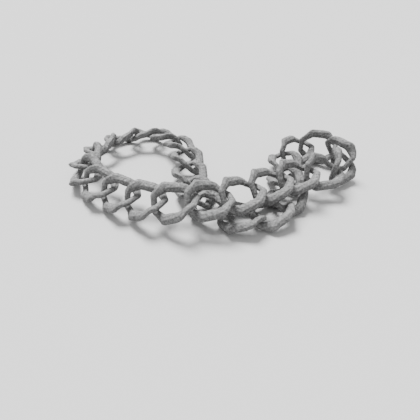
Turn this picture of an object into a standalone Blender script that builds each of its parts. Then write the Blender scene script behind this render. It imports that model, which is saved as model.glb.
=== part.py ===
"""Closed loop of heavy iron chain, lying loose on a level floor.

Metres, +Z up. The origin is under the middle of the loop's box, on the floor.
Every link is one closed ring of iron bar, bent to a long octagon, with its two ends turned out of
its own plane in opposite directions, as in curb chain. The links pass through each other freely.
"""

import math

import bmesh
import bpy
from mathutils import Matrix, Vector

# One link, measured over the outside. Its bar is thinner at the ends, where the links bear
LINK_LENGTH = 0.060
LINK_WIDTH = 0.054
END_FLAT = 0.023
CORNER_RUN = 0.015
SIDE_BAR = 0.0128
END_BAR = 0.0080
SIDE_DEPTH = 0.0116
END_DEPTH = 0.0076
INNER_FLAT_SHARE = 0.62
INNER_RUN_SHARE = 0.80
END_TURN = math.radians(-32)
TURN_POWER = 1.6

# Mesh detail of the bar
BAR_SIDES = 8
CORNER_SHARE = 0.07
RINGS_ON_END = 1
RINGS_ON_CORNER = 1
RINGS_ON_SIDE = 3

# The strand: its joints are a taut pitch apart, less some slack that grows with the cube of the turn
# there. Of a standing link's turn only a share counts, because that way it bends more easily
TAUT_PITCH = 0.0432
SLACK_AT_40_DEGREES = 0.0026
SLACK_POWER = 3
SLACK_LIMIT = 0.0040
STANDING_SHARE = 0.66
FLOOR_WEAR = 0.0004
CURVE_STEPS = 48

# How the joints are spaced along the route
SPACING_ROUNDS = 8
HALVINGS = 30
SHORTEST_FIT = 0.85
LONGEST_FIT = 1.02

MM = 0.001
TOUCH = 1e-5
CUT_MARGIN = 1e-7

# Where the strand lies, as (x, y, lift over the floor, lean) in millimetres and degrees.
# At the tight turn on the right the links stand up on their sides, and they come down on the
# other face, so the closed strand has a half turn in it.
ROUTE = [
    (-202, -1, 0, 29),
    (-182, -40, 0, 29),
    (-148, -68, 0, 29),
    (-110, -91, 3, 29),
    (-70, -111, 10, 27),
    (-27, -119, 19.6, 24),
    (16, -111, 19, 20.5),
    (55, -91, 18.2, 18),
    (94, -69, 20, 17),
    (136, -49, 19.4, 20),
    (178, -38, 7.2, 42),
    (213.2, -5, 0, 71),
    (208, 36, 0, 98),
    (168, 56.3, 0, 128),
    (132, 38.8, 0, 155),
    (116, -4.5, 0, 174),
    (117, -51, 0, 183),
    (101, -93, 0, 184),
    (61, -117, 0, 184),
    (16, -112.4, 0, 184),
    (-17, -80, 0, 187),
    (-32, -26, 0, 192),
    (-36, 18, 0, 197),
    (-46, 60, 0, 200.5),
    (-70, 96, 0, 203),
    (-108, 113.5, 0, 204.7),
    (-150, 107, 0, 205.7),
    (-182.5, 80, 0, 206.7),
    (-201, 41, 0, 208.3),
]

IRON_COLOUR = (0.22, 0.22, 0.22, 1.0)
IRON_ROUGHNESS = 0.75
IRON_METALLIC = 0.35


def clear_scene():
    for item in list(bpy.data.objects):
        bpy.data.objects.remove(item)


def iron_material(name):
    material = bpy.data.materials.new(name)
    material.use_nodes = True
    shader = material.node_tree.nodes["Principled BSDF"]
    shader.inputs["Base Color"].default_value = IRON_COLOUR
    shader.inputs["Roughness"].default_value = IRON_ROUGHNESS
    shader.inputs["Metallic"].default_value = IRON_METALLIC
    return material


def octagon(length, width, flat, run):
    """Corner points of a long octagon, starting on the end at +X and going round."""
    hx = length / 2
    hy = width / 2
    sx = hx - run
    ey = flat / 2
    right = [(hx, -ey), (hx, ey), (sx, hy)]
    left = [(-sx, hy), (-hx, ey), (-hx, -ey)]
    near = [(-sx, -hy), (sx, -hy)]
    return [Vector(p) for p in right + left + near]


def bar_stations():
    """Outer and inner edge points of the bar, in order round the link."""
    outer = octagon(LINK_LENGTH, LINK_WIDTH, END_FLAT, CORNER_RUN)
    inner = octagon(
        LINK_LENGTH - 2 * END_BAR,
        LINK_WIDTH - 2 * SIDE_BAR,
        END_FLAT * INNER_FLAT_SHARE,
        CORNER_RUN * INNER_RUN_SHARE,
    )
    rings_by_edge = [RINGS_ON_END, RINGS_ON_CORNER, RINGS_ON_SIDE, RINGS_ON_CORNER] * 2
    stations = []
    for i, rings in enumerate(rings_by_edge):
        j = (i + 1) % 8
        steps = rings + 1
        span = 1 - 2 * CORNER_SHARE
        for k in range(steps + 1):
            t = CORNER_SHARE + span * k / steps
            stations.append((outer[i].lerp(outer[j], t), inner[i].lerp(inner[j], t)))
    return stations


def link_points():
    """Rings of section points round one link, with the ends turned."""
    reach = 1 / math.cos(math.pi / BAR_SIDES)
    full_turn_at = LINK_LENGTH / 2 - END_BAR
    rings = []
    for outside, inside in bar_stations():
        middle = (outside + inside) / 2
        half = (outside - inside) / 2
        depth = SIDE_DEPTH + (END_DEPTH - SIDE_DEPTH) * min(1.0, abs(middle.x) / full_turn_at) ** 2
        ring = []
        for k in range(BAR_SIDES):
            angle = 2 * math.pi * (k + 0.5) / BAR_SIDES
            across = math.cos(angle) * reach
            x = middle.x + half.x * across
            y = middle.y + half.y * across
            z = depth / 2 * math.sin(angle) * reach
            share = min(1.0, abs(x) / full_turn_at) ** TURN_POWER
            turn = math.copysign(END_TURN * share, END_TURN * x)
            ring.append(
                Vector((
                    x,
                    y * math.cos(turn) - z * math.sin(turn),
                    y * math.sin(turn) + z * math.cos(turn),
                ))
            )
        rings.append(ring)
    return rings


def on_lap(points, i):
    """Point i of the closed strand, with a half turn of lean added for each lap before it."""
    laps = i // len(points)
    return points[i % len(points)] + Vector((0, 0, 0, laps * math.pi))


def catmull_rom(points, steps):
    """Closed smooth curve through the points, each a vector of position and lean."""
    count = len(points)
    curve = []
    for i in range(count):
        p0, p1, p2, p3 = (on_lap(points, i + k - 1) for k in range(4))
        knots = [0.0]
        for a, b in ((p0, p1), (p1, p2), (p2, p3)):
            knots.append(knots[-1] + math.sqrt((b.xyz - a.xyz).length))
        t0, t1, t2, t3 = knots
        for k in range(steps):
            t = t1 + (t2 - t1) * k / steps
            a1 = p0.lerp(p1, (t - t0) / (t1 - t0))
            a2 = p1.lerp(p2, (t - t1) / (t2 - t1))
            a3 = p2.lerp(p3, (t - t2) / (t3 - t2))
            b1 = a1.lerp(a2, (t - t0) / (t2 - t0))
            b2 = a2.lerp(a3, (t - t1) / (t3 - t1))
            curve.append(b1.lerp(b2, (t - t1) / (t2 - t1)))
    return curve


def lengths_along(curve):
    marks = [0.0]
    for i, point in enumerate(curve):
        after = curve[(i + 1) % len(curve)]
        marks.append(marks[-1] + (after.xyz - point.xyz).length)
    return marks


def joints_on(curve, pitches):
    """Joints round the closed curve, one link apart, and how far the links had to be stretched."""
    marks = lengths_along(curve)
    total = marks[-1]

    def at(distance):
        distance %= total
        low = 0
        high = len(curve)
        while high - low > 1:
            middle = (low + high) // 2
            if marks[middle] <= distance:
                low = middle
            else:
                high = middle
        share = (distance - marks[low]) / (marks[low + 1] - marks[low])
        return curve[low].lerp(on_lap(curve, low + 1), share)

    def walk(stretch):
        places = [0.0]
        for pitch in pitches:
            chord = pitch * stretch
            here = at(places[-1])
            low = places[-1]
            high = places[-1] + 0.5 * chord
            while (at(high).xyz - here.xyz).length < chord:
                low = high
                high += 0.1 * chord
            for _ in range(HALVINGS):
                middle = (low + high) / 2
                if (at(middle).xyz - here.xyz).length < chord:
                    low = middle
                else:
                    high = middle
            places.append(high)
        return places

    short = SHORTEST_FIT * total / sum(pitches)
    long = LONGEST_FIT * total / sum(pitches)
    for _ in range(HALVINGS):
        stretch = (short + long) / 2
        if walk(stretch)[-1] < total:
            short = stretch
        else:
            long = stretch
    places = walk(long)
    return [at(place) for place in places[:-1]], long


def pitches_for(joints):
    """Each link's joint spacing: taut where the strand is straight, slack where it turns."""
    slacks = []
    for i, joint in enumerate(joints):
        before = joint.xyz - joints[i - 1].xyz
        after = joints[(i + 1) % len(joints)].xyz - joint.xyz
        share = math.hypot(math.cos(joint.w), STANDING_SHARE * math.sin(joint.w))
        turn = share * math.degrees(before.angle(after))
        slacks.append(min(SLACK_LIMIT, SLACK_AT_40_DEGREES * (turn / 40) ** SLACK_POWER))
    pitches = []
    for i, slack in enumerate(slacks):
        pitches.append(TAUT_PITCH - (slack + slacks[(i + 1) % len(slacks)]) / 2)
    return pitches


def rest_height(lean, rings):
    """Height of a level link's middle when its lowest point is on the floor."""
    lowest = 0.0
    for ring in rings:
        for point in ring:
            lowest = min(lowest, point.y * math.sin(lean) + point.z * math.cos(lean))
    return -lowest - FLOOR_WEAR


def strand_joints(rings):
    """The joints of the closed strand, with the route scaled so that the links just close it."""
    scale = 1.0
    pitches = [TAUT_PITCH] * len(ROUTE)
    joints = []
    for _ in range(SPACING_ROUNDS):
        points = []
        for x, y, lift, lean in ROUTE:
            z = lift * MM + rest_height(math.radians(lean), rings)
            points.append(Vector((x * MM * scale, y * MM * scale, z, math.radians(lean))))
        joints, stretch = joints_on(catmull_rom(points, CURVE_STEPS), pitches)
        scale /= stretch
        pitches = pitches_for(joints)
    return joints


def link_matrix(start, end):
    """Place of the link between two joints: its length along them, its lean about them."""
    along = (end.xyz - start.xyz).normalized()
    across = Vector((0, 0, 1)).cross(along).normalized()
    face = along.cross(across)
    lean = (start.w + end.w) / 2
    side = across * math.cos(lean) + face * math.sin(lean)
    up = face * math.cos(lean) - across * math.sin(lean)
    middle = (start.xyz + end.xyz) / 2
    matrix = Matrix((along, side, up)).transposed().to_4x4()
    matrix.translation = middle
    return matrix


def build_link(name, rings, matrix, material):
    mesh = bpy.data.meshes.new(name)
    bm = bmesh.new()
    made = [[bm.verts.new(point) for point in ring] for ring in rings]
    for i, ring in enumerate(made):
        following = made[(i + 1) % len(made)]
        for k in range(BAR_SIDES):
            n = (k + 1) % BAR_SIDES
            bm.faces.new((ring[k], ring[n], following[n], following[k]))
    bmesh.ops.recalc_face_normals(bm, faces=bm.faces)
    wear_on_floor(bm, matrix)
    for face in bm.faces:
        face.smooth = True
    bm.to_mesh(mesh)
    bm.free()
    mesh.materials.append(material)
    link = bpy.data.objects.new(name, mesh)
    bpy.context.scene.collection.objects.link(link)
    link.rotation_mode = "QUATERNION"
    link.location = matrix.to_translation()
    link.rotation_quaternion = matrix.to_quaternion()
    return link


def wear_on_floor(bm, matrix):
    """Cuts the small flat that a link has worn where it bears on the floor."""
    inverse = matrix.inverted()
    floor_point = inverse @ Vector((0, 0, 0))
    floor_normal = inverse.to_3x3() @ Vector((0, 0, 1))
    lowest = min((matrix @ vert.co).z for vert in bm.verts)
    if lowest > -TOUCH:
        return
    cut = bmesh.ops.bisect_plane(
        bm,
        geom=bm.verts[:] + bm.edges[:] + bm.faces[:],
        dist=CUT_MARGIN,
        plane_co=floor_point,
        plane_no=floor_normal,
        clear_inner=True,
    )
    rim = [item for item in cut["geom_cut"] if isinstance(item, bmesh.types.BMEdge)]
    bmesh.ops.holes_fill(bm, edges=rim, sides=0)
    bmesh.ops.recalc_face_normals(bm, faces=bm.faces)


def centre_on_floor(links):
    """Moves the links so that their box is centred over the origin."""
    bpy.context.view_layer.update()
    xs = []
    ys = []
    for link in links:
        for vert in link.data.vertices:
            place = link.matrix_world @ vert.co
            xs.append(place.x)
            ys.append(place.y)
    shift = Vector(((min(xs) + max(xs)) / 2, (min(ys) + max(ys)) / 2, 0))
    for link in links:
        link.location -= shift


def main():
    clear_scene()
    rings = link_points()
    joints = strand_joints(rings)
    links = []
    for i, joint in enumerate(joints):
        name = f"link_{i + 1:02d}"
        matrix = link_matrix(joint, on_lap(joints, i + 1))
        links.append(build_link(name, rings, matrix, iron_material(name + "_iron")))
    centre_on_floor(links)


main()
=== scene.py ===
"""Looks of the closed loop of iron chain: rough iron on every link, a pale floor and soft light.

Each link of the frame is remeshed finely and given a real relief of lumps, dents and grit, which
only takes iron away, so the chain keeps its size and the links stay clear of each other.
"""

import math

import bpy
import numpy as np
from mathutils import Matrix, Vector, noise


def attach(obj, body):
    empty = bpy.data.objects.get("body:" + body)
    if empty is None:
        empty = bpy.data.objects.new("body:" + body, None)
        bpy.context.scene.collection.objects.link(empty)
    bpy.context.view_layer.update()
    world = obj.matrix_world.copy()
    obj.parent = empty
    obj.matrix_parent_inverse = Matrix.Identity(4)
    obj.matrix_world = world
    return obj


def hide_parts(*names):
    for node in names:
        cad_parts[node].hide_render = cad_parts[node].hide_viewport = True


# Fine mesh of a link
VOXEL = 0.00075
SMOOTH_FACTOR = 0.5
SMOOTH_ROUNDS = 1

# Relief, as (grain across, depth) in metres. The surface usually lies at a share of each depth,
# and a noise swings it deeper or shallower. It fades out just over the floor, where links bear
LUMPS = (0.0080, 0.00016)
DENTS = (0.0026, 0.00046)
GRIT = (0.0015, 0.00016)
USUAL_DEPTH = 0.28
DEPTH_SWING = 0.80
FLOOR_KEEP = 0.0008
SEED_STEP = Vector((0.37, 0.61, 0.83))

# Iron colour and gloss, as noise scales per metre and ramp stops of (place, grey). The patches
# are the greys themselves, and the others multiply them. The stops over the relief height paint
# shade into the dents and a highlight onto the high spots, and the pit stops paint shade into the
# pits
PATCH_SCALE = 70
PATCH_STOPS = [(0.34, 0.116), (0.52, 0.126), (0.68, 0.137)]
SPECKLE_SCALE = 420
SPECKLE_STOPS = [(0.37, 0.66), (0.50, 0.96), (0.63, 1.30)]
RELIEF_SHADE_AND_HIGHLIGHT_STOPS = [(0.40, 0.72), (0.70, 1.0), (0.97, 1.14)]
PIT_SCALE = 430
PIT_STOPS = [(0.08, 0.62), (0.26, 1.0)]
PIT_SHARE = 0.8
GLOSS_SCALE = 260
GLOSS_STOPS = [(0.30, 0.58), (0.70, 0.86)]
IRON_METALLIC = 0.25
IRON_SPECULAR = 0.28

# Bumps finer than the relief, as (strength, depth in metres), and the scales of two of them
COARSE_BUMP = (0.55, 0.0006)
COARSE_SCALE = 340
FINE_BUMP = (0.45, 0.00025)
FINE_SCALE = 1250
PIT_BUMP = (0.35, 0.0003)

# Camera: where it looks on the floor, its height angle and distance, and its view
LOOK_AT = Vector((0.0001, -0.0785, 0.0))
ELEVATION = math.radians(40)
DISTANCE = 0.3881
FOCAL_LENGTH_MM = 24.86
SENSOR_MM = 36.0
CLIP_START = 0.01
CLIP_END = 50.0

# Light and floor
SKY_COLOUR = (1.0, 1.0, 1.0, 1.0)
SKY_STRENGTH = 1.2
SUN_STRENGTH = 13.0
SUN_SPREAD = math.radians(26)
SUN_PLACE = Vector((-0.35, 0.75, 1.35))
FLOOR_RADIUS = 30.0
FLOOR_CORNERS = 64
FLOOR_COLOUR = (0.38, 0.38, 0.38, 1.0)
FLOOR_ROUGHNESS = 0.9
FLOOR_SPECULAR = 0.1


def link_number(name):
    return int(name.split("_")[1])


def add_node(tree, kind, **inputs):
    """A shader node with its named inputs set."""
    node = tree.nodes.new(kind)
    for key, value in inputs.items():
        node.inputs[key].default_value = value
    return node


def ramp(tree, source, stops):
    """A colour ramp over a grey value, with stops as (place, grey)."""
    node = tree.nodes.new("ShaderNodeValToRGB")
    node.color_ramp.elements[0].position = stops[0][0]
    node.color_ramp.elements[1].position = stops[-1][0]
    for place, _ in stops[1:-1]:
        node.color_ramp.elements.new(place)
    for element, (_, grey) in zip(node.color_ramp.elements, stops):
        element.color = (grey, grey, grey, 1.0)
    tree.links.new(source, node.inputs["Fac"])
    return node.outputs["Color"]


def multiplied(tree, share, first, second):
    """The first colour multiplied by the second, as far as the share says."""
    node = tree.nodes.new("ShaderNodeMix")
    node.data_type = "RGBA"
    node.blend_type = "MULTIPLY"
    node.inputs["Factor"].default_value = share
    colour_a, colour_b = [socket for socket in node.inputs if socket.type == "RGBA"]
    tree.links.new(first, colour_a)
    tree.links.new(second, colour_b)
    return next(socket for socket in node.outputs if socket.type == "RGBA")


def bump(tree, strength_and_depth, height, below=None):
    """A bump by a height, over the bump that lies below it."""
    strength, depth = strength_and_depth
    node = add_node(tree, "ShaderNodeBump", Strength=strength, Distance=depth)
    tree.links.new(height, node.inputs["Height"])
    if below is not None:
        tree.links.new(below, node.inputs["Normal"])
    return node.outputs["Normal"]


def iron_material():
    """Dull mid-grey iron with a speckled skin, painted shade in its pits and dents, and a painted
    highlight on its high spots.
    """
    material = bpy.data.materials.new("rough_iron")
    material.use_nodes = True
    tree = material.node_tree
    shader = tree.nodes["Principled BSDF"]
    place = tree.nodes.new("ShaderNodeTexCoord").outputs["Object"]

    def cloud(scale, detail, roughness, distortion=0.0):
        node = add_node(
            tree,
            "ShaderNodeTexNoise",
            Scale=scale,
            Detail=detail,
            Roughness=roughness,
            Distortion=distortion,
        )
        tree.links.new(place, node.inputs["Vector"])
        return node.outputs["Fac"]

    patches = ramp(tree, cloud(PATCH_SCALE, 4.0, 0.6, 0.4), PATCH_STOPS)
    speckle = ramp(tree, cloud(SPECKLE_SCALE, 4.0, 0.70), SPECKLE_STOPS)
    colour = multiplied(tree, 1.0, patches, speckle)

    height = tree.nodes.new("ShaderNodeAttribute")
    height.attribute_name = "relief"
    # Painted shade and highlight: the iron is darker in the dents of the relief and lighter on
    # its high spots, as the light would fall on them
    relief_shade_and_highlight = ramp(tree, height.outputs["Fac"], RELIEF_SHADE_AND_HIGHLIGHT_STOPS)
    colour = multiplied(tree, 1.0, colour, relief_shade_and_highlight)

    pits = add_node(tree, "ShaderNodeTexVoronoi", Scale=PIT_SCALE)
    tree.links.new(place, pits.inputs["Vector"])
    # Painted shade: the iron is darker in the pits, the same pits that the pit bump below sinks
    pit_shade = ramp(tree, pits.outputs["Distance"], PIT_STOPS)
    colour = multiplied(tree, PIT_SHARE, colour, pit_shade)
    tree.links.new(colour, shader.inputs["Base Color"])

    gloss = ramp(tree, cloud(GLOSS_SCALE, 3.0, 0.6), GLOSS_STOPS)
    tree.links.new(gloss, shader.inputs["Roughness"])
    shader.inputs["Metallic"].default_value = IRON_METALLIC
    shader.inputs["Specular IOR Level"].default_value = IRON_SPECULAR

    coarse = bump(tree, COARSE_BUMP, cloud(COARSE_SCALE, 5.0, 0.68))
    fine = bump(tree, FINE_BUMP, cloud(FINE_SCALE, 3.0, 0.7), coarse)
    pitted = bump(tree, PIT_BUMP, pit_shade, fine)
    tree.links.new(pitted, shader.inputs["Normal"])
    return material


def fine_mesh(node, name):
    """An even, closed fine mesh of a link, in the frame's place."""
    rough = bpy.data.objects.new(name, node.data.copy())
    bpy.context.scene.collection.objects.link(rough)
    remesh = rough.modifiers.new("even", "REMESH")
    remesh.mode = "VOXEL"
    remesh.voxel_size = VOXEL
    soften = rough.modifiers.new("soften", "SMOOTH")
    soften.factor = SMOOTH_FACTOR
    soften.iterations = SMOOTH_ROUNDS
    bpy.context.view_layer.update()
    evaluated = rough.evaluated_get(bpy.context.evaluated_depsgraph_get())
    mesh = bpy.data.meshes.new_from_object(evaluated)
    old = rough.data
    rough.modifiers.clear()
    rough.data = mesh
    bpy.data.meshes.remove(old)
    return rough


def roughen(piece, seed):
    """Takes the relief off the surface, and keeps its height as an attribute, from which the
    material paints shade in the dents and a highlight on the high spots.
    """
    mesh = piece.data
    count = len(mesh.vertices)
    places = np.empty(count * 3)
    mesh.vertices.foreach_get("co", places)
    places = places.reshape(-1, 3)
    normals = np.empty(count * 3)
    mesh.vertices.foreach_get("normal", normals)
    normals = normals.reshape(-1, 3)
    offset = seed * SEED_STEP
    depth = np.zeros(count)
    total = 0.0
    for grain, deep in (LUMPS, DENTS, GRIT):
        total += deep
        for i in range(count):
            value = noise.noise(Vector(places[i]) / grain + offset)
            depth[i] += deep * min(1.0, max(0.0, USUAL_DEPTH - DEPTH_SWING * value))
    height = 1.0 - depth / total
    keep = np.clip(places[:, 2] / FLOOR_KEEP, 0.0, 1.0)
    places -= normals * (depth * keep)[:, None]
    mesh.vertices.foreach_set("co", places.reshape(-1))
    relief = mesh.attributes.new("relief", "FLOAT", "POINT")
    relief.data.foreach_set("value", height.astype(np.float32))
    mesh.update()
    mesh.shade_smooth()


def dress_link(node, material):
    piece = fine_mesh(node, node.name + "_iron")
    roughen(piece, link_number(node.name))
    piece.data.materials.clear()
    piece.data.materials.append(material)
    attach(piece, "root")
    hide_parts(node.name)


def floor_material():
    material = bpy.data.materials.new("pale_floor")
    material.use_nodes = True
    shader = material.node_tree.nodes["Principled BSDF"]
    shader.inputs["Base Color"].default_value = FLOOR_COLOUR
    shader.inputs["Roughness"].default_value = FLOOR_ROUGHNESS
    shader.inputs["Specular IOR Level"].default_value = FLOOR_SPECULAR
    return material


def add_floor():
    bpy.ops.mesh.primitive_circle_add(
        vertices=FLOOR_CORNERS,
        radius=FLOOR_RADIUS,
        fill_type="NGON",
    )
    floor = bpy.context.object
    floor.name = "floor"
    floor.data.materials.append(floor_material())


def add_light():
    """An even pale sky and one soft light from above and behind."""
    world = bpy.data.worlds.new("studio")
    bpy.context.scene.world = world
    world.use_nodes = True
    background = world.node_tree.nodes["Background"]
    background.inputs["Color"].default_value = SKY_COLOUR
    background.inputs["Strength"].default_value = SKY_STRENGTH
    lamp = bpy.data.lights.new("key", "SUN")
    lamp.energy = SUN_STRENGTH
    lamp.angle = SUN_SPREAD
    holder = bpy.data.objects.new("key", lamp)
    holder.location = SUN_PLACE
    holder.rotation_euler = (-SUN_PLACE).to_track_quat("-Z", "Y").to_euler()
    bpy.context.scene.collection.objects.link(holder)


def add_camera():
    camera = bpy.data.objects.new("camera", bpy.data.cameras.new("camera"))
    back = Vector((0.0, -math.cos(ELEVATION), math.sin(ELEVATION)))
    camera.location = LOOK_AT + DISTANCE * back
    camera.rotation_euler = (-back).to_track_quat("-Z", "Y").to_euler()
    camera.data.lens = FOCAL_LENGTH_MM
    camera.data.sensor_width = SENSOR_MM
    camera.data.clip_start = CLIP_START
    camera.data.clip_end = CLIP_END
    bpy.context.scene.collection.objects.link(camera)
    bpy.context.scene.camera = camera


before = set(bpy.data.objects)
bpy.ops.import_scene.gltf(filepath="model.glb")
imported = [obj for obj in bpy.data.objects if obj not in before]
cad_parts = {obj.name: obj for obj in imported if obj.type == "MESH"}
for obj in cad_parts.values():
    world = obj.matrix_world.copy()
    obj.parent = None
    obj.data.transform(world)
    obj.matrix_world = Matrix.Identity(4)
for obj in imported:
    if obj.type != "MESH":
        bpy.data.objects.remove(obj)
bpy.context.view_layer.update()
iron = iron_material()
for name in sorted(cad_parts):
    dress_link(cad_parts[name], iron)
add_floor()
add_light()
add_camera()
